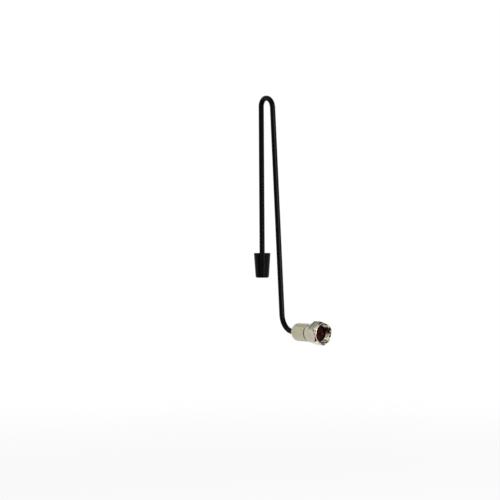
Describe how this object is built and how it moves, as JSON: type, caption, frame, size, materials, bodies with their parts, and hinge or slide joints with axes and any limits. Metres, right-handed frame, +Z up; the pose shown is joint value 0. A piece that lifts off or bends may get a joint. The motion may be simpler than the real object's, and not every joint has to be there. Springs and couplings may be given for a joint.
{
  "type": "garage door opener antenna",
  "caption": "Stiff insulated wire bent into a hairpin with a rubber cap on its free end, on a coaxial screw-on plug with a free-turning hexagonal coupling nut.",
  "frame": {"origin": "centre of the insulator face inside the plug, on the plug axis, where the exposed pin starts", "axes": "+X along the plug axis out of its mouth, +Z up along the wire's legs, the wire lying in the plane Y = 0"},
  "size_m": [0.0572, 0.0122, 0.1323],
  "materials": {
    "copper": "dull bare copper",
    "wire_vinyl": "satin black vinyl",
    "cap_rubber": "matte black moulded rubber",
    "nickel_plate": "satin nickel plate over brass",
    "insulator_plastic": "dark maroon moulded plastic"
  },
  "bodies": {
    "plug": {"antenna_wire": "wire_vinyl", "bared_core": "copper", "end_cap": "cap_rubber", "flanged_post": "nickel_plate", "rear_shell": "nickel_plate", "insulator": "insulator_plastic", "centre_pin": "copper"},
    "nut": {"coupling_nut": "nickel_plate"}
  },
  "joints": [
    {"name": "nut_spin", "type": "hinge", "parent": "plug", "child": "nut", "pos_m": [0, 0, 0], "axis": [1, 0, 0], "continuous": true}
  ]
}
